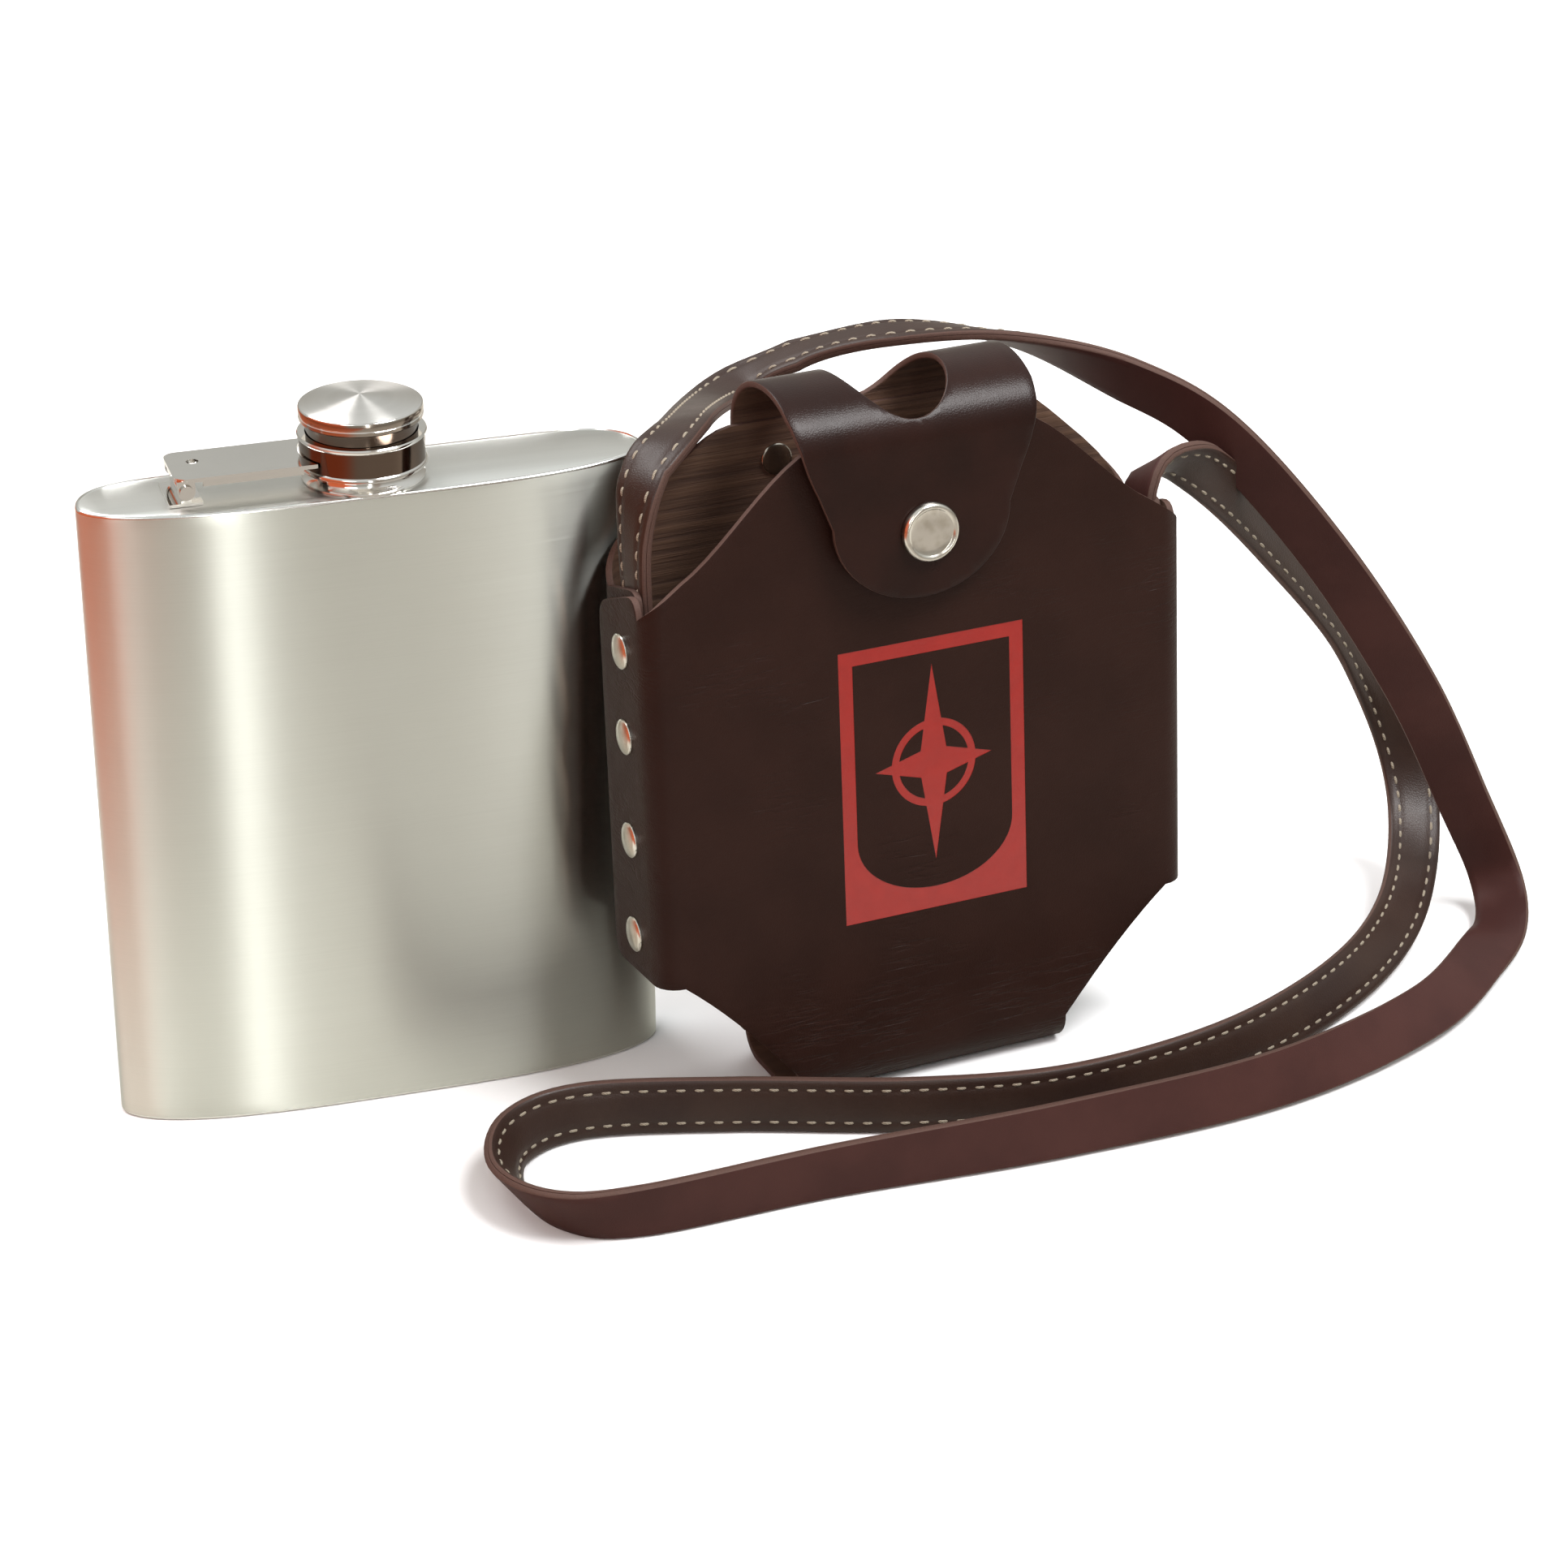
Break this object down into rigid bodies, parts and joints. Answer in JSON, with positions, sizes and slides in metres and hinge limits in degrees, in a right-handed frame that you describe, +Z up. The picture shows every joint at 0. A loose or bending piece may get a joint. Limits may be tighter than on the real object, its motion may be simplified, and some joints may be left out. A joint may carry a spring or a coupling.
{
  "type": "hip flask with case",
  "caption": "Steel hip flask with a captive screw cap, standing beside its riveted leather case with a long shoulder strap.",
  "frame": {"origin": "on the floor, in the middle of the box round the flask and the case without the strap", "axes": "+Z up, +X from the flask towards the case, along the flask's width, -Y towards the fronts of both"},
  "size_m": [0.3769, 0.1665, 0.1825],
  "materials": {
    "steel": "brushed",
    "polished_steel": "polished",
    "nickel": "polished nickel plate",
    "leather": "smooth, waxed",
    "paint": "gloss foil in a debossed field",
    "silicone": "matt"
  },
  "bodies": {
    "case": {"case_body": "leather", "flap_root": "leather", "flap_rivet_heads": "nickel", "flap_rivet_backs": "nickel", "side_rivet_heads": "nickel", "side_rivet_backs": "nickel", "snap_stud": "nickel", "snap_stud_back": "nickel", "emblem_paint": "paint", "shoulder_strap": "leather"},
    "flap": {"case_flap": "leather", "snap_cap": "nickel", "snap_socket": "nickel"},
    "flask": {"flask_wall": "steel", "flask_top_plate": "steel", "flask_bottom_plate": "steel", "neck_collar": "polished_steel", "threaded_neck": "polished_steel", "hinge_bracket": "polished_steel"},
    "arm": {"cap_arm": "polished_steel", "hinge_pin": "polished_steel", "captive_sleeve": "polished_steel"},
    "seal": {"cap_seal": "silicone"},
    "cap": {"screw_cap": "polished_steel"}
  },
  "joints": [
    {"name": "flap_open", "type": "hinge", "parent": "case", "child": "flap", "pos_m": [0.05618, 0.01764, 0.16382], "axis": [-0.9914, -0.1305, 0], "range_deg": [0, 80]},
    {"name": "flask_lift", "type": "slide", "parent": "case", "child": "flask", "axis": [0, 0, 1], "range_m": [0, 0.2]},
    {"name": "cap_swing", "type": "hinge", "parent": "flask", "child": "arm", "pos_m": [-0.11, 0.018, 0.1662], "axis": [0, -1, 0], "range_deg": [0, 100]},
    {"name": "cap_rise", "type": "slide", "parent": "arm", "child": "seal", "axis": [0, 0, 1], "range_m": [0, 0.006]},
    {"name": "cap_turn", "type": "hinge", "parent": "seal", "child": "cap", "pos_m": [-0.066, 0.018, 0.17], "axis": [0, 0, 1], "range_deg": [0, 720]}
  ],
  "couplings": [
    {"joint": "cap_rise", "follows": "cap_turn", "m_per_rad": 0.00047746}
  ]
}
